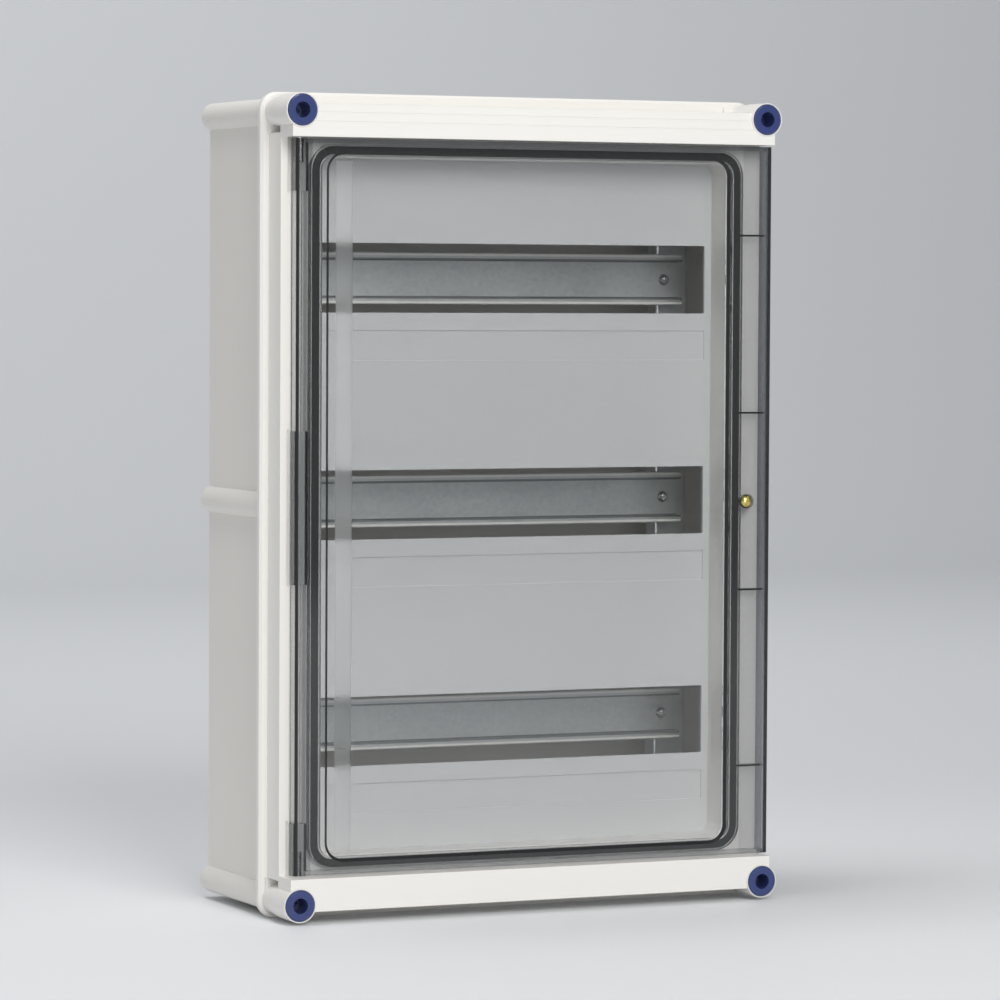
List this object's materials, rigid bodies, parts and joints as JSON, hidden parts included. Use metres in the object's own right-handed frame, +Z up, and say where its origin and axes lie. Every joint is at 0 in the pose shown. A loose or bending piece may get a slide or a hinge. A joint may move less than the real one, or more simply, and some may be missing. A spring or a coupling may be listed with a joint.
{
  "type": "din rail enclosure",
  "caption": "Wall-mounted plastic enclosure for rows of rail-mounted devices, with a screwed lid, a hinged clear door and a slotted faceplate over the rails.",
  "frame": {"origin": "centre of the bounding box's bottom face: mid-width, mid-depth, under the lid's lower flange edge", "axes": "+Z up the face, +Y into the wall, +X to the right seen from the front, door towards -Y"},
  "size_m": [0.362, 0.159, 0.542],
  "materials": {
    "housing": "fine matt moulding",
    "plate": "satin moulding",
    "door": "clear smoked, polished",
    "zinc": "zinc plated",
    "steel": "turned",
    "brass": "turned, lightly tarnished",
    "seal": "matt",
    "blue_nylon": "satin moulding"
  },
  "bodies": {
    "enclosure": {"back_box": "housing", "column_inserts": "zinc", "upright_left": "zinc", "upright_right": "zinc", "upright_screws": "zinc", "din_rail_top": "zinc", "din_rail_middle": "zinc", "din_rail_bottom": "zinc", "rail_screws": "zinc", "faceplate": "plate", "faceplate_screws": "zinc", "front_frame": "housing", "frame_gasket": "seal", "cover_screw_seals": "seal", "hinge_pins": "steel", "door_screw_insert": "brass"},
    "door": {"door": "door", "door_gasket": "seal"},
    "door_screw": {"door_screw": "brass", "door_screw_retainer": "steel"},
    "cover_screw_top_left_body": {"cover_screw_top_left": "blue_nylon"},
    "cover_screw_top_right_body": {"cover_screw_top_right": "blue_nylon"},
    "cover_screw_bottom_left_body": {"cover_screw_bottom_left": "blue_nylon"},
    "cover_screw_bottom_right_body": {"cover_screw_bottom_right": "blue_nylon"}
  },
  "joints": [
    {"name": "door_hinge", "type": "hinge", "parent": "enclosure", "child": "door", "pos_m": [-0.1644, -0.0618, 0.271], "axis": [0, 0, -1], "range_deg": [0, 110]},
    {"name": "door_screw_turn", "type": "hinge", "parent": "door", "child": "door_screw", "pos_m": [0.1614, -0.0659, 0.271], "axis": [0, -1, 0], "range_deg": [0, 90]},
    {"name": "cover_screw_top_left_turn", "type": "hinge", "parent": "enclosure", "child": "cover_screw_top_left_body", "pos_m": [-0.169, -0.0695, 0.529], "axis": [0, -1, 0], "range_deg": [0, 90]},
    {"name": "cover_screw_top_right_turn", "type": "hinge", "parent": "enclosure", "child": "cover_screw_top_right_body", "pos_m": [0.169, -0.0695, 0.529], "axis": [0, -1, 0], "range_deg": [0, 90]},
    {"name": "cover_screw_bottom_left_turn", "type": "hinge", "parent": "enclosure", "child": "cover_screw_bottom_left_body", "pos_m": [-0.169, -0.0695, 0.013], "axis": [0, -1, 0], "range_deg": [0, 90]},
    {"name": "cover_screw_bottom_right_turn", "type": "hinge", "parent": "enclosure", "child": "cover_screw_bottom_right_body", "pos_m": [0.169, -0.0695, 0.013], "axis": [0, -1, 0], "range_deg": [0, 90]}
  ]
}
